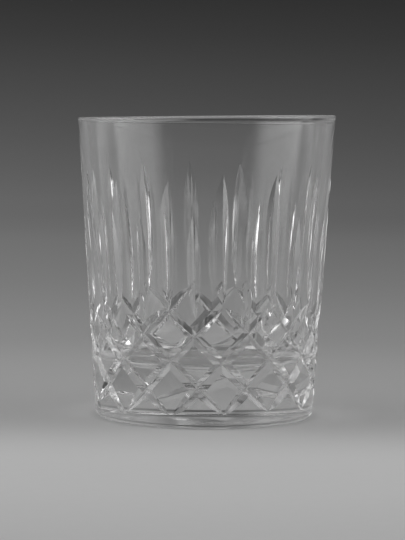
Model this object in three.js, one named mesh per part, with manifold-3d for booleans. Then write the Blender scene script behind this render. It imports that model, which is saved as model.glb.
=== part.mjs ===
// A cut glass tumbler: one piece of clear glass, blown with a thick base and then cut on the wheel.
// Millimetres, +Z up. The origin is the centre of the foot's underside, and a tall flute faces -Y.
import * as THREE from "three";
import { mergeVertices } from "three/addons/utils/BufferGeometryUtils.js";
import Module from "manifold-3d";

// The blank's outside: a straight taper, whose two radii are where its line meets the foot and the rim
const HEIGHT = 90.7;
const RIM_RADIUS = 38.6;
const FOOT_RADIUS = 32.8;
const HEEL_HEIGHT = 2;
const HEEL_SETBACK = 1.2;

// The underside: a flat ground ring round a shallow polished hollow
const FOOT_RING_WIDTH = 5;
const FOOT_HOLLOW_DEPTH = 1;

// The blank's inside: the wall thickens downwards, and a curved floor closes it
const RIM_WALL = 2.2;
const RIM_ROUNDING = 0.5; // height of the round on both edges of the rim
const RIM_OUTSIDE_ROUND = 0.5; // how far each round reaches across the rim
const RIM_INSIDE_ROUND = 1.2;
const WALL_THICKENING = 0.029; // extra thickness for each millimetre down from the rim
const FLOOR_THICKNESS = 15;
const FLOOR_CURVE_RADIUS = 110;
const FLOOR_CORNER_RADIUS = 8;

// The wheel's edge, and how often each cut repeats round the glass
const COLUMNS = 14;
const WHEEL_ANGLE = THREE.MathUtils.degToRad(115);

// The lattice of slanting cuts: each runs from a top point down across four half diamonds
const LATTICE_TOP = 34.6;
const LATTICE_BOTTOM = 3.9;
const LATTICE_HALF_DIAMONDS = 4;
const LATTICE_CUT_WIDTH = 3.9;
const LATTICE_FULLNESS = 5; // how late a cut runs out to nothing at its ends

// The upright flutes: a tall one stands over each top point of the lattice, and a short one stands
// over each crossing in the row below that. Both are counted up from their own row.
const TALL_FLUTE = { row: 0, aboveRow: 0.8, belowRim: 17.3, width: 4.7, fullness: 3 };
const SHORT_FLUTE = { row: 1, aboveRow: 4.7, belowRim: 28.3, width: 4.5, fullness: 2.2 };

// How finely the round forms are divided
const SEGMENTS_PER_COLUMN = 4;
const HEEL_STEPS = 2;
const HOLLOW_STEPS = 3;
const RIM_STEPS = 3;
const CORNER_STEPS = 5;
const FLOOR_STEPS = 3;
const FLUTE_STEPS = 8;
const LATTICE_STEPS = 8;

// A cutter stands this far out of the glass, and its ends lift off this far past each tip
const CUTTER_CLEARANCE = 0.8;
const RUN_OUT = 1.04;

// Two points of a cut this near each other give its direction, and corners this near are one
const DIRECTION_STEP = 0.01;
const WELD = 1e-4;

const COLUMN_TURN = (2 * Math.PI) / COLUMNS;
const ROW_HEIGHT = (LATTICE_TOP - LATTICE_BOTTOM) / LATTICE_HALF_DIAMONDS;
const TAPER = (RIM_RADIUS - FOOT_RADIUS) / HEIGHT;
const WALL_TAN = Math.tan(WHEEL_ANGLE / 2);

const outerRadius = (z) => FOOT_RADIUS + TAPER * z;
const innerRadius = (z) =>
  outerRadius(z) - RIM_WALL - WALL_THICKENING * (HEIGHT - z);

// Points of the stretch of a round or oval curve, both ends included.
function arc(centre, radiusX, radiusY, from, to, steps) {
  return Array.from({ length: steps + 1 }, (_, i) => {
    const angle = from + ((to - from) * i) / steps;
    return new THREE.Vector2(
      centre.x + radiusX * Math.cos(angle),
      centre.y + radiusY * Math.sin(angle),
    );
  });
}

// The underside and the heel, from the axis out to the wall.
function footProfile() {
  const ringOutside = outerRadius(HEEL_HEIGHT) - HEEL_SETBACK;
  const ringInside = ringOutside - FOOT_RING_WIDTH;
  const hollow = Array.from({ length: HOLLOW_STEPS + 1 }, (_, i) => {
    const share = i / HOLLOW_STEPS;
    return new THREE.Vector2(
      ringInside * share,
      FOOT_HOLLOW_DEPTH * (1 - share * share),
    );
  });
  const heelCentre = new THREE.Vector2(ringOutside, HEEL_HEIGHT);
  const heel = arc(heelCentre, HEEL_SETBACK, HEEL_HEIGHT, -Math.PI / 2, 0, HEEL_STEPS);
  return [...hollow, ...heel];
}

// The polished rim, from the outside wall over a narrow flat top to the inside wall.
function rimProfile() {
  const z = HEIGHT - RIM_ROUNDING;
  const outer = new THREE.Vector2(outerRadius(z) - RIM_OUTSIDE_ROUND, z);
  const inner = new THREE.Vector2(innerRadius(z) + RIM_INSIDE_ROUND, z);
  return [
    ...arc(outer, RIM_OUTSIDE_ROUND, RIM_ROUNDING, 0, Math.PI / 2, RIM_STEPS),
    ...arc(inner, RIM_INSIDE_ROUND, RIM_ROUNDING, Math.PI / 2, Math.PI, RIM_STEPS),
  ];
}

// The corner and the floor, from the inside wall down to the axis. The corner's round touches both
// the wall's line and the floor's, whose centre is on the axis above it.
function floorProfile() {
  const slope = TAPER + WALL_THICKENING;
  const lean = Math.atan(slope);
  const floorCentre = FLOOR_THICKNESS + FLOOR_CURVE_RADIUS;
  const apart = FLOOR_CURVE_RADIUS - FLOOR_CORNER_RADIUS;
  const offset = innerRadius(0) - FLOOR_CORNER_RADIUS / Math.cos(lean);
  // The corner's centre (offset + slope z, z) is `apart` from the floor's: a z^2 + b z + c = 0.
  const a = slope * slope + 1;
  const b = 2 * (offset * slope - floorCentre);
  const c = offset * offset + floorCentre * floorCentre - apart * apart;
  const z = (-b - Math.sqrt(b * b - 4 * a * c)) / (2 * a);
  const corner = new THREE.Vector2(offset + slope * z, z);
  const meeting = Math.atan2(z - floorCentre, corner.x);
  const round = arc(corner, FLOOR_CORNER_RADIUS, FLOOR_CORNER_RADIUS, -lean, meeting, CORNER_STEPS);
  const axis = new THREE.Vector2(0, floorCentre);
  const floor = arc(axis, FLOOR_CURVE_RADIUS, FLOOR_CURVE_RADIUS, meeting, -Math.PI / 2, FLOOR_STEPS);
  floor[FLOOR_STEPS].x = 0;
  return [...round, ...floor.slice(1)];
}

// The uncut blank, turned about +Z.
function blankGeometry() {
  const profile = [...footProfile(), ...rimProfile(), ...floorProfile()];
  const segments = COLUMNS * SEGMENTS_PER_COLUMN;
  return new THREE.LatheGeometry(profile, segments).rotateX(Math.PI / 2);
}

// A point on the outside wall, `turn` round from -Y towards +X, with the wall's outward normal there.
function onWall(turn, z) {
  const radius = outerRadius(z);
  const point = new THREE.Vector3(radius * Math.sin(turn), -radius * Math.cos(turn), z);
  const normal = new THREE.Vector3(Math.sin(turn), -Math.cos(turn), -TAPER).normalize();
  return { point, normal };
}

// The glass that the wheel's V edge sweeps out as it goes from one point of the wall to another.
// The cut is deepest half way and runs out to nothing at both; fullness says how late it runs out.
function cutGeometry(from, to, width, fullness, steps) {
  const deepest = width / 2 / WALL_TAN;
  const at = (s) =>
    onWall(
      THREE.MathUtils.lerp(from.turn, to.turn, (s + 1) / 2),
      THREE.MathUtils.lerp(from.z, to.z, (s + 1) / 2),
    );
  const positions = [];
  for (let i = 0; i <= steps; i++) {
    const s = RUN_OUT * ((2 * i) / steps - 1);
    const { point, normal } = at(s);
    const ahead = at(s + DIRECTION_STEP).point;
    const along = ahead.sub(at(s - DIRECTION_STEP).point).normalize();
    const across = new THREE.Vector3().crossVectors(along, normal).normalize();
    const depth = deepest * (1 - Math.abs(s) ** fullness);
    const halfWidth = (depth + CUTTER_CLEARANCE) * WALL_TAN;
    const root = point.clone().addScaledVector(normal, -depth);
    const top = point.clone().addScaledVector(normal, CUTTER_CLEARANCE);
    const left = top.clone().addScaledVector(across, -halfWidth);
    const right = top.clone().addScaledVector(across, halfWidth);
    positions.push(...root.toArray(), ...left.toArray(), ...right.toArray());
  }
  const last = 3 * steps;
  const index = [0, 2, 1, last, last + 1, last + 2];
  for (let i = 0; i < steps; i++) {
    for (let side = 0; side < 3; side++) {
      const a = 3 * i + side;
      const b = 3 * i + ((side + 1) % 3);
      index.push(a, b, a + 3, b, b + 3, a + 3);
    }
  }
  return new THREE.BufferGeometry()
    .setAttribute("position", new THREE.Float32BufferAttribute(positions, 3))
    .setIndex(index);
}

// An upright flute at a column, or at half a column for those that stand between.
function fluteGeometry(column, flute) {
  const turn = column * COLUMN_TURN;
  const from = { turn, z: LATTICE_TOP - flute.row * ROW_HEIGHT + flute.aboveRow };
  const to = { turn, z: HEIGHT - flute.belowRim };
  return cutGeometry(from, to, flute.width, flute.fullness, FLUTE_STEPS);
}

// A slanting cut of the lattice from a top point, towards +X or -X of it by `hand`.
function latticeGeometry(column, hand) {
  const turn = column * COLUMN_TURN;
  const swing = (hand * COLUMN_TURN * LATTICE_HALF_DIAMONDS) / 2;
  const from = { turn, z: LATTICE_TOP };
  const to = { turn: turn + swing, z: LATTICE_BOTTOM };
  return cutGeometry(from, to, LATTICE_CUT_WIDTH, LATTICE_FULLNESS, LATTICE_STEPS);
}

const wasm = await Module();
wasm.setup();

// A closed geometry as a solid that can be joined and cut.
function toSolid(geometry) {
  const bare = new THREE.BufferGeometry()
    .setAttribute("position", geometry.getAttribute("position"))
    .setIndex(geometry.getIndex());
  const merged = mergeVertices(bare, WELD);
  return new wasm.Manifold(
    new wasm.Mesh({
      numProp: 3,
      vertProperties: new Float32Array(merged.getAttribute("position").array),
      triVerts: new Uint32Array(merged.getIndex().array),
    }),
  );
}

// A solid as a geometry that a mesh can draw.
function toGeometry(solid) {
  const mesh = solid.getMesh();
  const geometry = new THREE.BufferGeometry()
    .setAttribute("position", new THREE.BufferAttribute(mesh.vertProperties, 3))
    .setIndex(new THREE.BufferAttribute(mesh.triVerts, 1));
  geometry.computeVertexNormals();
  return geometry;
}

// Every cut that goes on the wheel, column by column.
function allCuts() {
  const cuts = [];
  for (let column = 0; column < COLUMNS; column++) {
    cuts.push(fluteGeometry(column, TALL_FLUTE));
    cuts.push(fluteGeometry(column + 0.5, SHORT_FLUTE));
    cuts.push(latticeGeometry(column, 1));
    cuts.push(latticeGeometry(column, -1));
  }
  return cuts;
}

function makeTumbler() {
  let glass = toSolid(blankGeometry());
  for (const cut of allCuts()) glass = glass.subtract(toSolid(cut));
  const material = new THREE.MeshStandardMaterial({
    color: 0xe6eaea,
    roughness: 0.03,
    metalness: 0,
    transparent: true,
    opacity: 0.35,
  });
  const mesh = new THREE.Mesh(toGeometry(glass), material);
  mesh.name = "tumbler";
  return mesh;
}

const object = new THREE.Group();
object.add(makeTumbler());

export default object;
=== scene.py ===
"""A hand cut crystal tumbler on a pale paper sweep, lit by a soft light on either side.

The glass is made as the real one is: a blank is turned with a thick base, a wheel with a V edge cuts
upright flutes and a lattice of slanting mitres into it, and the foot is ground flat. Metres, +Z up,
with a tall flute facing -Y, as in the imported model.
"""

import logging
import math
import random
from dataclasses import dataclass, field
from enum import Enum

import bpy
from mathutils import Matrix, Vector


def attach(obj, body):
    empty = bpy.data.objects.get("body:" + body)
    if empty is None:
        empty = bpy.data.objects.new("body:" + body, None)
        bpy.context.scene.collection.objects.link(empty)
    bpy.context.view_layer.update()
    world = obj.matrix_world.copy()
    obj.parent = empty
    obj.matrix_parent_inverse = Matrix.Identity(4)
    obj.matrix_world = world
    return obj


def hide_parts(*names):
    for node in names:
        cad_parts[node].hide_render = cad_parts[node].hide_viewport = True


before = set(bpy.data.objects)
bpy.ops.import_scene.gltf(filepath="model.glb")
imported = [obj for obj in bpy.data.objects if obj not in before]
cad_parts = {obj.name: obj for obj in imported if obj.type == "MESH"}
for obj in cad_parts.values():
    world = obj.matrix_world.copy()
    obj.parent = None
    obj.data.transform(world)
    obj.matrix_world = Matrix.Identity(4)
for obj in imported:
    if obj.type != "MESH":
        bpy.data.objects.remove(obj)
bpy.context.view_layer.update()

log = logging.getLogger("tumbler")

MM = 0.001
WELD = 0.001 * MM

# The slot that marks the faces of the cuts until their edges are sharp
CUT_SLOT = 1

Point = tuple[float, float]
Span = tuple[float, float]
Stops = list[tuple[float, float]]
Number = int | float

# Painted light: the paper glows with these tones in place of the studio's light falling off. They are
# (distance, tone) stops. The distance runs out from the glass along the floor and then up the wall,
# except in the side glow, where it is the distance to either side.
PAINTED_STRIP_GLOW: Stops = [
    (0.0, 0.165), (0.14, 0.157), (0.22, 0.133), (0.5, 0.123), (0.86, 0.12), (1.25, 0.1), (1.36, 0.078),
    (1.45, 0.059), (1.53, 0.043), (1.6, 0.027), (1.662, 0.016), (1.695, 0.25), (1.82, 0.28), (2.05, 0.31),
    (2.3, 0.4), (2.8, 0.4), (3.1, 0.25),
]
PAINTED_FRONT_GLOW: Stops = [
    (0.0, 0.29), (0.14, 0.298), (0.2, 0.27), (0.27, 0.17), (0.42, 0.08), (1.5, 0.045), (3.1, 0.045),
]
PAINTED_SIDE_GLOW: Stops = [(0.0, 0.155), (0.33, 0.16), (0.55, 0.26), (0.9, 0.29), (1.5, 0.28)]
# Painted light: how much of the side glow is left along the distance, dim low on the wall and brighter
# above
PAINTED_SIDE_FALLOFF: Stops = [(0.0, 1.0), (1.1, 1.0), (1.4, 0.6), (1.64, 0.58), (1.74, 1.1), (3.1, 1.1)]
# Painted shade: the paper's own colour darkens with distance from the glass, along with the glow's fall-off
PAPER_ALBEDO_WITH_PAINTED_FALLOFF: Stops = [(0.0, 0.35), (0.3, 0.3), (1.0, 0.12), (1.5, 0.08), (3.1, 0.08)]


class Facing(Enum):
    """Which way a slanting cut runs down from its top point, seen from outside."""

    RIGHT = 1
    LEFT = -1


# Making shapes with the edit mode's own tools


def start_mesh(name: str, at: Vector) -> bpy.types.Object:
    """Starts a mesh as a single point, in edit mode with that point selected.

    Args:
        name: What the object is called.
        at: Where the point is.

    Returns:
        The new object.
    """
    bpy.ops.object.select_all(action="DESELECT")
    bpy.ops.mesh.primitive_plane_add(size=MM, location=at)
    made = bpy.context.active_object
    made.name = made.data.name = name
    bpy.ops.object.transform_apply(location=True, rotation=True, scale=True)
    bpy.ops.object.mode_set(mode="EDIT")
    bpy.ops.mesh.select_mode(type="VERT")
    bpy.ops.mesh.select_all(action="SELECT")
    bpy.ops.mesh.merge(type="CENTER")
    return made


def draw_line(name: str, points: list[Vector], closed: bool = False) -> bpy.types.Object:
    """Draws a line from point to point by extruding a vertex.

    Args:
        name: What the object is called.
        points: The line's points in order.
        closed: Whether an edge joins the last point to the first.

    Returns:
        The line's object, in edit mode with all of it selected.
    """
    made = start_mesh(name, points[0])
    for before, after in zip(points, points[1:]):
        bpy.ops.mesh.extrude_region_move(TRANSFORM_OT_translate={"value": after - before})
    bpy.ops.mesh.select_all(action="SELECT")
    if closed:
        bpy.ops.object.mode_set(mode="OBJECT")
        ends = {0, len(points) - 1}
        for vertex in made.data.vertices:
            vertex.select = vertex.index in ends
        bpy.ops.object.mode_set(mode="EDIT")
        bpy.ops.mesh.edge_face_add()
        bpy.ops.mesh.select_all(action="SELECT")
    return made


def turn_on_lathe(name: str, profile: list[Point], segments: int) -> bpy.types.Object:
    """Spins a profile of (radius, height) points round the Z axis into a smooth mesh.

    Args:
        name: What the object is called.
        profile: The profile's points.
        segments: How many steps go round.

    Returns:
        The object, in object mode.
    """
    made = draw_line(name, [Vector((radius, 0, height)) for radius, height in profile])
    bpy.ops.mesh.spin(steps=segments, angle=math.tau, center=(0, 0, 0), axis=(0, 0, 1))
    bpy.ops.mesh.select_all(action="SELECT")
    bpy.ops.mesh.remove_doubles(threshold=WELD)
    bpy.ops.mesh.normals_make_consistent(inside=False)
    bpy.ops.object.mode_set(mode="OBJECT")
    return made


def arc(centre: Point, radii: Point, start: float, end: float, steps: int) -> list[Point]:
    """Points of the stretch of a round or oval curve.

    Args:
        centre: The curve's centre.
        radii: Its half width and half height.
        start: The angle of the first point.
        end: The angle of the last point.
        steps: How many equal steps lie between them.

    Returns:
        The points, both ends included.
    """
    angles = [start + (end - start) * i / steps for i in range(steps + 1)]
    return [(centre[0] + radii[0] * math.cos(a), centre[1] + radii[1] * math.sin(a)) for a in angles]


# The glass


@dataclass
class Blank:
    """The uncut glass: a straight taper with a thick base, a curved floor inside and a slight lip."""

    height: float = 90.03 * MM
    rim_radius: float = 38.6 * MM
    foot_radius: float = 32.8 * MM
    heel_height: float = 2 * MM
    heel_setback: float = 1.2 * MM
    foot_ring_width: float = 5 * MM
    foot_hollow_depth: float = 1.5 * MM
    rim_wall: float = 2.2 * MM
    rim_rounding: float = 0.5 * MM
    rim_outside_round: float = 0.5 * MM
    rim_inside_round: float = 1.2 * MM
    rim_slant: Span = (math.radians(0.33), math.radians(1))
    lip_drop: float = 1.5 * MM
    lip_rise: float = 0.95 * MM
    lip_outside_flare: float = 0.18 * MM
    lip_inside_flare: float = 0.1 * MM
    line_drop: float = 1.76 * MM
    line_width: float = 0.5 * MM
    line_height: float = 0.032 * MM
    wall_thickening: float = 0.029
    floor_thickness: float = 15 * MM
    floor_curve_radius: float = 110 * MM
    floor_corner_radius: float = 8 * MM
    segments: int = 448
    fine_steps: int = 14
    round_steps: int = 7

    @property
    def taper(self) -> float:
        """How much wider the wall gets for each metre up."""
        return (self.rim_radius - self.foot_radius) / self.height

    def outer_radius(self, z: float) -> float:
        """The outside radius of the wall at a height."""
        return self.foot_radius + self.taper * z

    def inner_radius(self, z: float) -> float:
        """The inside radius of the wall at a height."""
        return self.outer_radius(z) - self.rim_wall - self.wall_thickening * (self.height - z)

    @property
    def outward(self) -> Vector:
        """The way straight out of the wall, on the plane of turn 0."""
        return Vector((0, -1, -self.taper)).normalized()

    def foot_profile(self) -> list[Point]:
        """The underside and the heel, from the axis out to the wall.

        Returns:
            The points of the profile.
        """
        ring_outside = self.outer_radius(self.heel_height) - self.heel_setback
        ring_inside = ring_outside - self.foot_ring_width
        shares = [i / self.fine_steps for i in range(self.fine_steps + 1)]
        hollow = [(ring_inside * s, self.foot_hollow_depth * (1 - s * s)) for s in shares]
        radii = (self.heel_setback, self.heel_height)
        heel = arc((ring_outside, self.heel_height), radii, -math.pi / 2, 0, self.round_steps)
        return hollow + heel

    def lip_levels(self) -> list[Point]:
        """The lip's heights, lowest first.

        Returns:
            Each height with the share of the lip's flare that it has.
        """
        foot = self.height - self.lip_drop
        shares = [i / self.round_steps for i in range(self.round_steps + 1)]
        return [(foot + self.lip_rise * share, (1 - math.cos(math.pi * share)) / 2) for share in shares]

    def rim_profile(self) -> list[Point]:
        """The lip, which flares a little, and the rim's narrow flat top, from outside to inside.

        Returns:
            The points of the profile.
        """
        top = self.height - self.rim_rounding
        outer = (self.outer_radius(top) + self.lip_outside_flare - self.rim_outside_round, top)
        inner = (self.inner_radius(top) + self.lip_inside_flare + self.rim_inside_round, top)
        levels = self.lip_levels()
        outside = [(self.outer_radius(z) + self.lip_outside_flare * share, z) for z, share in levels]
        inside = [(self.inner_radius(z) + self.lip_inside_flare * share, z) for z, share in levels]
        outer_radii = (self.rim_outside_round, self.rim_rounding)
        inner_radii = (self.rim_inside_round, self.rim_rounding)
        outer_round = arc(outer, outer_radii, 0, math.pi / 2, self.round_steps)
        inner_round = arc(inner, inner_radii, math.pi / 2, math.pi, self.round_steps)
        return outside + outer_round + inner_round + inside[::-1]

    def polishing_line(self) -> list[Point]:
        """The faint raised line that the polisher left round the outside, just below the lip.

        Returns:
            The points of the profile.
        """
        points = []
        for i in range(self.fine_steps):
            share = 2 * i / self.fine_steps - 1
            z = self.height - self.line_drop + share * self.line_width / 2
            swell = self.line_height * (1 + math.cos(math.pi * share)) / 2
            points.append((self.outer_radius(z) + swell, z))
        return points

    def floor_profile(self) -> list[Point]:
        """The round corner and the floor, from the inside wall down to the axis.

        Returns:
            The points of the profile.
        """
        slope = self.taper + self.wall_thickening
        lean = math.atan(slope)
        floor_centre = self.floor_thickness + self.floor_curve_radius
        apart = self.floor_curve_radius - self.floor_corner_radius
        offset = self.inner_radius(0) - self.floor_corner_radius / math.cos(lean)
        # The corner's centre (offset + slope z, z) is `apart` from the floor's: a z^2 + b z + c = 0
        a = slope * slope + 1
        b = 2 * (offset * slope - floor_centre)
        c = offset * offset + floor_centre * floor_centre - apart * apart
        z = (-b - math.sqrt(b * b - 4 * a * c)) / (2 * a)
        corner = (offset + slope * z, z)
        meeting = math.atan2(z - floor_centre, corner[0])
        radii = (self.floor_corner_radius, self.floor_corner_radius)
        rounding = arc(corner, radii, -lean, meeting, self.fine_steps)
        radii = (self.floor_curve_radius, self.floor_curve_radius)
        floor = arc((0, floor_centre), radii, meeting, -math.pi / 2, self.fine_steps)
        floor[-1] = (0, floor[-1][1])
        return rounding + floor[1:]

    def build(self, name: str) -> bpy.types.Object:
        """Turns the blank and slants its rim a little, as the cutting off and grinding left it.

        Args:
            name: What the object is called.

        Returns:
            The blank, in object mode.
        """
        profile = self.foot_profile() + self.polishing_line() + self.rim_profile() + self.floor_profile()
        made = turn_on_lathe(name, profile, self.segments)
        heights = [vertex.co.z for vertex in made.data.vertices]
        level_step = self.lip_rise / self.round_steps
        for level, _ in self.lip_levels()[:self.round_steps]:
            bpy.ops.object.mode_set(mode="EDIT")
            bpy.ops.mesh.select_all(action="DESELECT")
            bpy.ops.object.mode_set(mode="OBJECT")
            for vertex, height in zip(made.data.vertices, heights):
                vertex.select = height > level + level_step / 2
            bpy.ops.object.mode_set(mode="EDIT")
            for axis, slant in zip("XY", self.rim_slant):
                share = slant / self.round_steps
                bpy.ops.transform.rotate(value=share, orient_axis=axis, center_override=(0, 0, self.height))
            bpy.ops.object.mode_set(mode="OBJECT")
        return made


@dataclass
class WheelEdge:
    """The V edge of a cutting wheel, which leaves a groove with a slightly rounded root."""

    angle: float = math.radians(115)
    root_radius: float = 0.35 * MM
    root_steps: int = 8

    def section(self, reach: float, lean: float) -> list[Point]:
        """The edge's outline as (across, outwards) points from the tip of its V.

        Args:
            reach: How far the V goes outwards.
            lean: How far the V turns towards -across.

        Returns:
            The points from the first side's top round the root to the other side's top.
        """
        half = self.angle / 2
        centre = self.root_radius / math.sin(half)
        middle = (-centre * math.sin(lean), centre * math.cos(lean))
        radii = (self.root_radius, self.root_radius)
        root = arc(middle, radii, math.pi + lean + half, math.tau + lean - half, self.root_steps)
        left = (-reach * math.tan(half + lean), reach)
        right = (reach * math.tan(half - lean), reach)
        return [left, *root, right]


@dataclass
class Cut:
    """One stroke of the wheel on the wall, between two tips where it runs out to nothing.

    Its swing is how far it goes round the glass. The V leans to one side at the top, and rolls over along
    the way down.
    """

    blank: Blank
    edge: WheelEdge
    name: str
    top: float
    bottom: float
    depth: float
    fullness: float
    swing: float = 0.0
    lean: float = 0.0
    roll: float = 0.0
    clearance: float = 0.5 * MM
    run_out: float = 1.05
    steps: int = 48

    def depth_at(self, share: float) -> float:
        """The depth of the V's tip from -1 at the top to 1 at the bottom, less than nothing past them."""
        return self.depth * (1 - abs(share) ** self.fullness)

    def station(self, share: float) -> Vector:
        """Where the V's tip is at a share of the stroke, on the plane of turn 0.

        Args:
            share: From -1 at the top tip to 1 at the bottom one.

        Returns:
            The point, before the stroke's own turn about the glass is added.
        """
        z = self.top + (self.bottom - self.top) * (share + 1) / 2
        surface = Vector((0, -self.blank.outer_radius(z), z))
        return surface - self.blank.outward * self.depth_at(share)

    def build(self) -> bpy.types.Object:
        """Carries the wheel's edge along the stroke.

        Returns:
            The closed cutter, in object mode.
        """
        shares = [self.run_out * (2 * i / self.steps - 1) for i in range(self.steps + 1)]
        turns = [self.swing * (share + 1) / 2 for share in shares]
        places = [self.station(share) for share in shares]
        normal = self.blank.outward
        up = Vector((0, -self.blank.taper, 1)).normalized()
        middle_radius = self.blank.outer_radius((self.top + self.bottom) / 2)
        travel = Vector((self.swing * middle_radius, 0, 0)) + up * (self.bottom - self.top)
        across = -travel.cross(normal).normalized()
        reach = self.depth + self.clearance
        outline = self.edge.section(reach, self.lean)
        points = [places[0] + across * a + normal * out for a, out in outline]
        first_turn = Matrix.Rotation(turns[0], 3, "Z")
        made = draw_line(self.name, [first_turn @ point for point in points], closed=True)
        made.data.materials.append(None)
        made.data.materials.append(None)
        made.active_material_index = CUT_SLOT
        for i in range(self.steps):
            shift = Matrix.Rotation(turns[i], 3, "Z") @ (places[i + 1] - places[i])
            bpy.ops.mesh.extrude_region_move(TRANSFORM_OT_translate={"value": shift})
            turn = turns[i + 1] - turns[i]
            if turn:
                bpy.ops.transform.rotate(value=-turn, orient_axis="Z", center_override=(0, 0, 0))
            if self.roll:
                so_far = Matrix.Rotation(turns[i + 1], 3, "Z")
                axle = so_far @ travel.normalized() * (self.roll / self.steps)
                tip = so_far @ places[i + 1]
                for name, share in zip("XYZ", axle):
                    bpy.ops.transform.rotate(value=-share, orient_axis=name, center_override=tip)
        bpy.ops.mesh.select_all(action="SELECT")
        bpy.ops.mesh.fill_holes(sides=0)
        bpy.ops.mesh.select_all(action="SELECT")
        bpy.ops.mesh.normals_make_consistent(inside=False)
        bpy.ops.object.material_slot_assign()
        bpy.ops.object.mode_set(mode="OBJECT")
        return made


@dataclass
class Wander:
    """How far one hand held cut strays from true."""

    turn: float = 0.0
    rise: float = 0.0
    tilt: float = 0.0
    twist: float = 0.0


# How the cuts on the side that faces the camera stray, by kind and column
FRONT_STRAYS = {
    ("tall_flute", 12): Wander(math.radians(-0.8), -1.2 * MM),
    ("tall_flute", 13): Wander(math.radians(0.4), -1.2 * MM),
    ("tall_flute", 0): Wander(math.radians(-0.45), 0.1 * MM, math.radians(0.9)),
    ("tall_flute", 1): Wander(math.radians(-1.2), 0.1 * MM, math.radians(0.3)),
    ("short_flute", 12): Wander(math.radians(-0.6), -0.6 * MM, math.radians(0.5)),
    ("short_flute", 13): Wander(math.radians(-0.6), 0.0, math.radians(1.5)),
    ("short_flute", 0): Wander(math.radians(-1.0), 0.0, math.radians(2.2)),
    ("mitre_right", 10): Wander(math.radians(-1.5), 0.0, math.radians(-0.5)),
    ("mitre_right", 11): Wander(math.radians(-1.0), -0.6 * MM, math.radians(2.2)),
    ("mitre_right", 12): Wander(math.radians(0.7), -0.2 * MM, math.radians(2.5)),
    ("mitre_right", 13): Wander(math.radians(-0.8), 0.3 * MM, math.radians(2.5)),
    ("mitre_right", 0): Wander(math.radians(1.2), 0.5 * MM, math.radians(-0.3)),
    ("mitre_right", 1): Wander(math.radians(-0.4), 1.2 * MM, math.radians(2.5)),
    ("mitre_left", 12): Wander(math.radians(-0.2), 1.5 * MM, math.radians(-0.2)),
    ("mitre_left", 13): Wander(math.radians(-0.3), 1.2 * MM, math.radians(-0.9)),
    ("mitre_left", 0): Wander(0.0, 0.3 * MM, math.radians(0.3)),
    ("mitre_left", 1): Wander(math.radians(1.7), 0.8 * MM, math.radians(1.1)),
    ("mitre_left", 2): Wander(math.radians(1.1), 0.7 * MM, math.radians(0.7)),
    ("mitre_left", 3): Wander(math.radians(0.6), 1.2 * MM),
}


def copy_cutter(master: bpy.types.Object, turn: float, wander: Wander) -> bpy.types.Object:
    """Copies a cutter round the glass, a little off true as the cutter's hand leaves it.

    Args:
        master: The cutter, modelled at turn 0.
        turn: How far round the glass the copy stands.
        wander: How far its place, its direction and the lean of its V are off.

    Returns:
        The copy, with its own mesh and its place in it.
    """
    bpy.ops.object.select_all(action="DESELECT")
    master.select_set(True)
    bpy.context.view_layer.objects.active = master
    bpy.ops.object.duplicate(linked=False)
    copy = bpy.context.active_object
    corners = [Vector(corner) for corner in master.bound_box]
    middle = sum(corners, Vector()) / len(corners)
    outward = Vector((middle.x, middle.y, 0)).normalized()
    stray = Matrix.Rotation(wander.tilt, 4, outward) @ Matrix.Rotation(wander.twist, 4, "Z")
    stray = Matrix.Translation(middle) @ stray @ Matrix.Translation(-middle)
    place = Matrix.Translation((0, 0, wander.rise)) @ Matrix.Rotation(turn + wander.turn, 4, "Z")
    copy.matrix_world = place @ stray
    bpy.ops.object.transform_apply(location=True, rotation=True, scale=True)
    return copy


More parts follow.
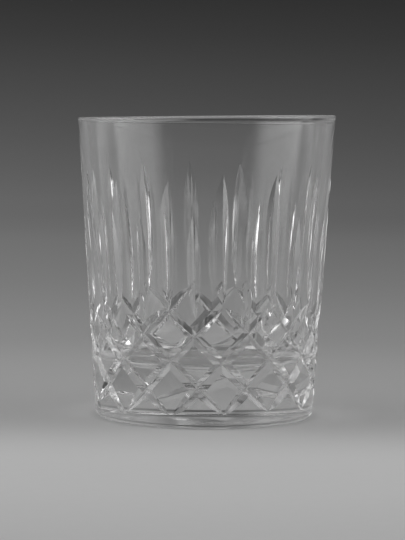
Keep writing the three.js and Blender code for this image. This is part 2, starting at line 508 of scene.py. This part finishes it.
@dataclass
class CutPattern:
    """The whole of the cutting: a lattice of slanting mitres round the base with flutes above it."""

    blank: Blank
    columns: int = 14
    lattice_top: float = 34.6 * MM
    lattice_bottom: float = 3.9 * MM
    lattice_half_diamonds: int = 4
    mitre_depth: float = 1.15 * MM
    mitre_fullness: float = 5
    mitre_lean: float = math.radians(9)
    mitre_roll: float = math.radians(17)
    mitre_clearance: float = 0.6 * MM
    mitre_steps: int = 72
    right_overshoot: float = 0.8 * MM
    flute_edge: WheelEdge = field(
        default_factory=lambda: WheelEdge(angle=math.radians(128), root_radius=0.12 * MM)
    )
    tall_top: float = 73.4 * MM
    tall_above_lattice: float = 0.8 * MM
    tall_depth: float = 1.1 * MM
    tall_fullness: float = 3.1
    tall_lean: float = math.radians(8)
    short_top: float = 62.4 * MM
    short_above_crossing: float = 4.7 * MM
    short_depth: float = 1.04 * MM
    short_fullness: float = 2.0
    short_lean: float = math.radians(3)
    loose_turn: float = 0.006
    loose_rise: float = 0.35 * MM
    loose_tilt: float = 0.008
    twisted_columns: range = range(3, 12)
    twist: float = math.radians(6)
    seed: int = 7

    @property
    def column_turn(self) -> float:
        """The angle from one column to the next."""
        return math.tau / self.columns

    @property
    def row_height(self) -> float:
        """Half the height of a diamond."""
        return (self.lattice_top - self.lattice_bottom) / self.lattice_half_diamonds

    def tall_flute(self) -> Cut:
        """The flute that stands over a top point of the lattice.

        Returns:
            The stroke.
        """
        return Cut(
            self.blank, self.flute_edge, "tall_flute",
            top=self.tall_top,
            bottom=self.lattice_top + self.tall_above_lattice,
            depth=self.tall_depth,
            fullness=self.tall_fullness,
            lean=self.tall_lean,
        )

    def short_flute(self) -> Cut:
        """The flute that stands over a crossing of the row below.

        Returns:
            The stroke.
        """
        return Cut(
            self.blank, self.flute_edge, "short_flute",
            top=self.short_top,
            bottom=self.lattice_top - self.row_height + self.short_above_crossing,
            depth=self.short_depth,
            fullness=self.short_fullness,
            lean=self.short_lean,
        )

    def mitre(self, facing: Facing) -> Cut:
        """A slanting cut of the lattice, whose wider side is the upper one at first and then the lower.

        Args:
            facing: Which way it runs down. The cuts that run to the right go a little further.

        Returns:
            The stroke.
        """
        swing = facing.value * self.column_turn * self.lattice_half_diamonds / 2
        bottom = self.lattice_bottom
        if facing is Facing.RIGHT:
            bottom -= self.right_overshoot
            swing *= 1 + self.right_overshoot / (self.lattice_top - self.lattice_bottom)
        return Cut(
            self.blank, WheelEdge(), f"mitre_{facing.name.lower()}",
            top=self.lattice_top,
            bottom=bottom,
            depth=self.mitre_depth,
            fullness=self.mitre_fullness,
            swing=swing,
            lean=-facing.value * self.mitre_lean,
            roll=facing.value * self.mitre_roll,
            clearance=self.mitre_clearance,
            steps=self.mitre_steps,
        )

    def build(self) -> list[bpy.types.Object]:
        """Models each kind of cut once and copies it round the glass.

        Returns:
            Every cutter.
        """
        dice = random.Random(self.seed)
        kinds = [
            (self.tall_flute(), 0.0), (self.short_flute(), 0.5),
            (self.mitre(Facing.RIGHT), 0.0), (self.mitre(Facing.LEFT), 0.0),
        ]
        cutters = []
        for cut, offset in kinds:
            master = cut.build()
            for column in range(self.columns):
                sizes = (self.loose_turn, self.loose_rise, self.loose_tilt)
                loose = Wander(*[dice.gauss(0, size) for size in sizes])
                if cut.name == "tall_flute" and column in self.twisted_columns:
                    loose.twist = self.twist
                wander = FRONT_STRAYS.get((cut.name, column), loose)
                cutters.append(copy_cutter(master, (column + offset) * self.column_turn, wander))
            bpy.data.objects.remove(master)
            log.info("%s: %d cuts", cut.name, self.columns)
        return cutters


# Materials


class Value:
    """A number that a shader node gives, which Python's operators can work with."""

    def __init__(self, nodes: "NodeSheet", socket: bpy.types.NodeSocket) -> None:
        """Wraps a node's output socket."""
        self.nodes = nodes
        self.socket = socket

    def _math(self, operation: str, *values: "Value | Number") -> "Value":
        """Adds a Math node and returns its result."""
        return self.nodes.add("ShaderNodeMath", {"operation": operation}, dict(enumerate(values)))

    def __add__(self, other: "Value | Number") -> "Value":
        """self + other."""
        return self._math("ADD", self, other)

    __radd__ = __add__

    def __sub__(self, other: "Value | Number") -> "Value":
        """self - other."""
        return self._math("SUBTRACT", self, other)

    def __rsub__(self, other: "Value | Number") -> "Value":
        """other - self."""
        return self._math("SUBTRACT", other, self)

    def __mul__(self, other: "Value | Number") -> "Value":
        """self * other."""
        return self._math("MULTIPLY", self, other)

    __rmul__ = __mul__

    def __truediv__(self, other: "Value | Number") -> "Value":
        """self / other."""
        return self._math("DIVIDE", self, other)

    def __pow__(self, other: "Value | Number") -> "Value":
        """self ** other."""
        return self._math("POWER", self, other)

    def between(self, low: float, high: float) -> "Value":
        """A smooth step from 0 at low to 1 at high.

        Args:
            low: Where the step starts.
            high: Where it ends.

        Returns:
            The step's value.
        """
        values = {"Value": self, "From Min": low, "From Max": high}
        return self.nodes.add("ShaderNodeMapRange", {"interpolation_type": "SMOOTHSTEP"}, values)


class NodeSheet:
    """The nodes of one material, light or world."""

    def __init__(self, owner: "bpy.types.Material | bpy.types.Light | bpy.types.World") -> None:
        """Clears the owner's nodes but for a new output.

        Args:
            owner: Whose nodes these are.
        """
        owner.use_nodes = True
        self.owner = owner
        self.tree = owner.node_tree
        self.tree.nodes.clear()
        kinds = {"Material": bpy.types.Material, "Light": bpy.types.Light, "World": bpy.types.World}
        kind = next(name for name, owners in kinds.items() if isinstance(owner, owners))
        self.output = self.tree.nodes.new(f"ShaderNodeOutput{kind}")

    def add(
        self,
        kind: str,
        settings: dict[str, object] | None = None,
        values: dict[str | int, object] | None = None,
        result: str | int = 0,
    ) -> Value:
        """Adds a node.

        Args:
            kind: The node's type.
            settings: Its properties, and a ramp's stops as "stops".
            values: A value or a link for each named or numbered input.
            result: Which output is returned.

        Returns:
            The wrapped output.
        """
        node = self.tree.nodes.new(kind)
        for key, setting in (settings or {}).items():
            if key == "stops":
                self._set_stops(node, setting)
            else:
                setattr(node, key, setting)
        for key, value in (values or {}).items():
            if isinstance(value, Value):
                self.tree.links.new(value.socket, node.inputs[key])
            else:
                node.inputs[key].default_value = value
        return Value(self, node.outputs[result])

    def _set_stops(self, node: bpy.types.Node, stops: Stops) -> None:
        """Gives a colour ramp its grey stops.

        Args:
            node: The ramp.
            stops: The (place, grey) pairs, with the places from 0 to 1.
        """
        elements = node.color_ramp.elements
        while len(elements) < len(stops):
            elements.new(1.0)
        for element, (place, grey) in zip(elements, stops):
            element.position = place
            element.color = (grey, grey, grey, 1)

    def place(self) -> Value:
        """The Object coordinates."""
        return self.add("ShaderNodeTexCoord", result="Object")

    def split(self, vector: Value) -> tuple[Value, Value, Value]:
        """The three numbers of a vector.

        Args:
            vector: The vector.

        Returns:
            Its X, Y and Z.
        """
        outputs = self.add("ShaderNodeSeparateXYZ", values={0: vector}).socket.node.outputs
        return tuple(Value(self, outputs[i]) for i in range(3))

    def axes(self) -> tuple[Value, Value, Value]:
        """The Object coordinates as three numbers."""
        return self.split(self.place())

    def ramp(self, place: Value, stops: Stops) -> Value:
        """A run of tones along a distance.

        Args:
            place: The distance.
            stops: The (distance, tone) pairs, nearest first.

        Returns:
            The tone.
        """
        reach = stops[-1][0]
        scaled = [(distance / reach, tone) for distance, tone in stops]
        return self.add("ShaderNodeValToRGB", {"stops": scaled}, {0: place / reach})

    def finish(self, shader: Value) -> None:
        """Links the shader to the output."""
        self.tree.links.new(shader.socket, self.output.inputs["Surface"])


@dataclass(frozen=True)
class PolishedCrystal:
    """Clear crystal: polished all over, but for the foot and its ring, which tables have worn."""

    tint: tuple[float, float, float, float] = (0.985, 0.985, 0.985, 1.0)
    refraction: float = 1.545
    ripple_scale: float = 55.0
    ripple_height: float = 0.008 * MM
    ground_heights: Span = (0.02 * MM, 0.04 * MM)
    ground_roughness: float = 0.08
    worn_heights: Span = (1.6 * MM, 2.56 * MM)
    worn_roughness: float = 0.12
    wear_scale: float = 900.0
    wear_grain: float = 0.6
    least_wear: float = 0.6
    wear_spread: float = 0.8

    def material(self) -> bpy.types.Material:
        """Makes the glass material.

        Returns:
            The material.
        """
        crystal = bpy.data.materials.new("polished_crystal")
        nodes = NodeSheet(crystal)
        place = nodes.place()
        _, _, z = nodes.axes()
        wear = nodes.add(
            "ShaderNodeTexNoise",
            values={"Vector": place, "Scale": self.wear_scale, "Detail": 3.0, "Roughness": self.wear_grain},
        )
        ground = 1 - z.between(*self.ground_heights)
        worn = 1 - z.between(*self.worn_heights)
        strength = ground * self.ground_roughness + worn * self.worn_roughness
        roughness = strength * (self.least_wear + wear * self.wear_spread)
        ripple = nodes.add(
            "ShaderNodeTexNoise", values={"Vector": place, "Scale": self.ripple_scale, "Detail": 1.0}
        )
        bump = nodes.add(
            "ShaderNodeBump", values={"Strength": 1.0, "Distance": self.ripple_height, "Height": ripple}
        )
        shader = nodes.add(
            "ShaderNodeBsdfPrincipled",
            values={
                "Base Color": self.tint, "Transmission Weight": 1.0, "IOR": self.refraction,
                "Roughness": roughness, "Normal": bump,
            },
        )
        nodes.finish(shader)
        return crystal


@dataclass
class Tumbler:
    """The whole glass, a single piece."""

    blank: Blank = field(default_factory=Blank)
    finish: PolishedCrystal = field(default_factory=PolishedCrystal)
    crease: float = math.radians(20)
    facet_weight: int = 80

    def build(self) -> bpy.types.Object:
        """Turns the blank, cuts it and polishes it.

        Returns:
            The finished glass.
        """
        glass = self.blank.build("crystal_tumbler")
        glass.data.materials.append(None)
        glass.data.materials.append(None)
        cutters = CutPattern(self.blank).build()
        for cutter in cutters:
            bpy.ops.object.select_all(action="DESELECT")
            bpy.context.view_layer.objects.active = glass
            glass.select_set(True)
            subtract = glass.modifiers.new("cut", "BOOLEAN")
            subtract.operation = "DIFFERENCE"
            subtract.solver = "MANIFOLD"
            subtract.object = cutter
            bpy.ops.object.modifier_apply(modifier=subtract.name)
            bpy.data.objects.remove(cutter)
        self._crease(glass)
        bpy.ops.object.material_slot_remove()
        glass.data.materials[0] = self.finish.material()
        return glass

    def _crease(self, glass: bpy.types.Object) -> None:
        """Keeps the edges of the cuts sharp and lets all other faces shade smoothly.

        Args:
            glass: The cut glass, in object mode.
        """
        bpy.ops.object.select_all(action="DESELECT")
        glass.select_set(True)
        bpy.context.view_layer.objects.active = glass
        bpy.ops.object.shade_smooth_by_angle(angle=self.crease)
        bpy.ops.object.mode_set(mode="EDIT")
        bpy.ops.mesh.select_mode(type="FACE")
        bpy.ops.mesh.select_all(action="DESELECT")
        glass.active_material_index = CUT_SLOT
        bpy.ops.object.material_slot_select()
        bpy.ops.mesh.region_to_loop()
        bpy.ops.mesh.mark_sharp()
        bpy.ops.object.mode_set(mode="OBJECT")
        weigh = glass.modifiers.new("weigh", "WEIGHTED_NORMAL")
        weigh.keep_sharp = True
        weigh.weight = self.facet_weight
        bpy.ops.object.modifier_apply(modifier=weigh.name)


# The studio


@dataclass(frozen=True)
class SweepPaper:
    """Pale paper that glows with painted light, with a painted shadow under the glass.

    The glow stands in for the studio's light. Behind the glass a strip of the wall falls off to dark with
    height. It is paler at the sides, under the lights, a little brighter on the left, and dim again in
    front, where the camera stands. The paper's own colour also darkens away from the glass, as painted
    shade.
    """

    heading: float
    strip_edges: Span = (0.19, 0.3)
    front_edges: Span = (0.0, 0.09)
    painted_side_slope: float = 0.6
    shadow_edges: Span = (32 * MM, 35.5 * MM)
    shadow_depth: float = 0.4
    fibre_scale: float = 260.0
    fibre_depth: float = 0.06

    def material(self) -> bpy.types.Material:
        """Makes the paper, with its painted light laid out along the heading.

        Returns:
            The material.
        """
        paper = bpy.data.materials.new("sweep_paper_and_painted_light")
        nodes = NodeSheet(paper)
        x, y, z = nodes.axes()
        side = x * math.cos(self.heading) + y * math.sin(self.heading)
        depth = y * math.cos(self.heading) - x * math.sin(self.heading)
        distance = (x * x + y * y) ** 0.5 + z
        aside = (side * side) ** 0.5
        # Painted light: the strip behind the glass glows darker with height, a little brighter on the left
        strip = nodes.ramp(distance, PAINTED_STRIP_GLOW) * (1 - side * self.painted_side_slope)
        # Painted light: the paper glows paler at the sides, under the softboxes
        beside = nodes.ramp(aside, PAINTED_SIDE_GLOW) * nodes.ramp(distance, PAINTED_SIDE_FALLOFF)
        pale = aside.between(*self.strip_edges)
        back = strip * (1 - pale) + beside * pale
        # Painted light: the floor in front of the glass glows brighter
        near = (0 - depth).between(*self.front_edges)
        front = nodes.ramp(distance, PAINTED_FRONT_GLOW)
        values = {"Vector": nodes.place(), "Scale": self.fibre_scale, "Detail": 4.0}
        fibre = nodes.add("ShaderNodeTexNoise", values=values)
        grain = 1 - self.fibre_depth / 2 + fibre * self.fibre_depth
        # Painted shadow: the paper is darker under the glass and in a ring round its foot
        shadow = (1 - distance.between(*self.shadow_edges)) * self.shadow_depth
        # The painted light and the painted shadow, with the paper's random grain, go out as the paper's
        # glow
        tone = (back * (1 - near) + front * near) * grain * (1 - shadow)
        # The paper's base colour darkens with distance from the glass as painted shade
        shader = nodes.add(
            "ShaderNodeBsdfPrincipled",
            values={
                "Base Color": nodes.ramp(distance, PAPER_ALBEDO_WITH_PAINTED_FALLOFF), "Roughness": 1.0,
                "Specular IOR Level": 0.0, "Emission Color": tone, "Emission Strength": 1.0,
            },
        )
        nodes.finish(shader)
        return paper


@dataclass
class PaperSweep:
    """The pale floor and the wall that rises from it all round."""

    paper: SweepPaper
    floor_radius: float = 1.15
    cove_radius: float = 0.35
    wall_height: float = 1.6
    gap: float = 0.03 * MM
    segments: int = 96
    steps: int = 16

    def build(self) -> bpy.types.Object:
        """Makes the floor and the wall as one surface.

        Returns:
            The sweep.
        """
        radii = (self.cove_radius, self.cove_radius)
        cove = arc((self.floor_radius, self.cove_radius), radii, -math.pi / 2, 0, self.steps)
        wall = (self.floor_radius + self.cove_radius, self.wall_height)
        profile = [(0, 0), *cove, wall]
        made = turn_on_lathe("paper_sweep", [(r, z - self.gap) for r, z in profile], self.segments)
        bpy.ops.object.mode_set(mode="EDIT")
        bpy.ops.mesh.select_all(action="SELECT")
        bpy.ops.mesh.normals_make_consistent(inside=True)
        bpy.ops.object.mode_set(mode="OBJECT")
        bpy.ops.object.shade_smooth()
        made.data.materials.append(self.paper.material())
        return made


@dataclass
class Softbox:
    """A large soft light beside the glass, which fades towards its edges."""

    name: str
    azimuth: float
    distance: float = 0.45
    width: float = 0.62
    height: float = 0.6
    foot: float = -0.02
    radiance: float = 1.5
    fade_first: float = 0.12
    fade_last: float = 0.35
    fade_up: float = 0.2

    def build(self) -> bpy.types.Object:
        """Makes the light.

        Returns:
            The light, upright and facing the glass.
        """
        lamp = bpy.data.lights.new(self.name, "AREA")
        lamp.shape = "RECTANGLE"
        lamp.size = self.width
        lamp.size_y = self.height
        lamp.energy = self.radiance * math.pi * self.width * self.height
        nodes = NodeSheet(lamp)
        u, v, _ = nodes.split(nodes.add("ShaderNodeNewGeometry", result="Parametric"))
        across = u.between(0, self.fade_first) * (1 - u.between(1 - self.fade_last, 1))
        upward = v.between(0, self.fade_up) * (1 - v.between(1 - self.fade_up, 1))
        nodes.finish(nodes.add("ShaderNodeEmission", values={"Color": across * upward}))
        made = bpy.data.objects.new(self.name, lamp)
        bpy.context.scene.collection.objects.link(made)
        out = Vector((math.sin(self.azimuth), -math.cos(self.azimuth), 0))
        made.location = out * self.distance + Vector((0, 0, self.foot + self.height / 2))
        made.rotation_euler = out.to_track_quat("Z", "Y").to_euler()
        return made


@dataclass
class Viewpoint:
    """The camera: its place, and the way it looks and rolls."""

    place: tuple[float, float, float] = (-98.6 * MM, -665.9 * MM, 94.0 * MM)
    heading: float = math.radians(-8.35)
    pitch: float = math.radians(4.271)
    roll: float = math.radians(0.54)
    lens: float = 149.2
    film_width: float = 36
    nearest: float = 10 * MM

    def build(self) -> bpy.types.Object:
        """Makes the camera and gives it to the scene.

        Returns:
            The camera.
        """
        camera = bpy.data.objects.new("camera", bpy.data.cameras.new("camera"))
        bpy.context.scene.collection.objects.link(camera)
        turn = Matrix.Rotation(self.heading, 4, "Z") @ Matrix.Rotation(math.pi / 2 - self.pitch, 4, "X")
        camera.matrix_world = Matrix.Translation(self.place) @ turn @ Matrix.Rotation(self.roll, 4, "Z")
        camera.data.lens = self.lens
        camera.data.sensor_width = self.film_width
        camera.data.clip_start = self.nearest
        bpy.context.scene.camera = camera
        return camera


@dataclass
class Studio:
    """The sweep, a soft light on either side, the dim room and the camera."""

    viewpoint: Viewpoint = field(default_factory=Viewpoint)
    left_light: float = math.radians(-80)
    right_light: float = math.radians(76)
    room_grey: float = 0.06
    clear_bounces: int = 40
    gloss_bounces: int = 24
    paper_bounces: int = 3

    def build(self) -> None:
        """Makes everything round the glass."""
        heading = self.viewpoint.heading
        PaperSweep(SweepPaper(heading)).build()
        left = Softbox("left_softbox", heading + self.left_light)
        left.build()
        right = Softbox("right_softbox", heading + self.right_light)
        right.fade_first, right.fade_last = left.fade_last, left.fade_first
        right.build()
        room = bpy.data.worlds.new("dim_room")
        nodes = NodeSheet(room)
        grey = (self.room_grey, self.room_grey, self.room_grey, 1)
        nodes.finish(nodes.add("ShaderNodeBackground", values={"Color": grey}))
        scene = bpy.context.scene
        scene.world = room
        scene.view_settings.view_transform = "Standard"
        scene.cycles.max_bounces = self.clear_bounces
        scene.cycles.transmission_bounces = self.clear_bounces
        scene.cycles.glossy_bounces = self.gloss_bounces
        scene.cycles.diffuse_bounces = self.paper_bounces
        scene.cycles.blur_glossy = 0.0
        self.viewpoint.build()


def main() -> None:
    """Builds the glass, then the studio round it."""
    logging.basicConfig(level=logging.INFO, format="%(name)s: %(message)s")
    glass = Tumbler().build()
    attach(glass, "root")
    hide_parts("tumbler")
    log.info("glass: %d faces, %d vertices", len(glass.data.polygons), len(glass.data.vertices))
    Studio().build()
    log.info("studio: sweep, two softboxes and camera")


if __name__ == "__main__":
    main()
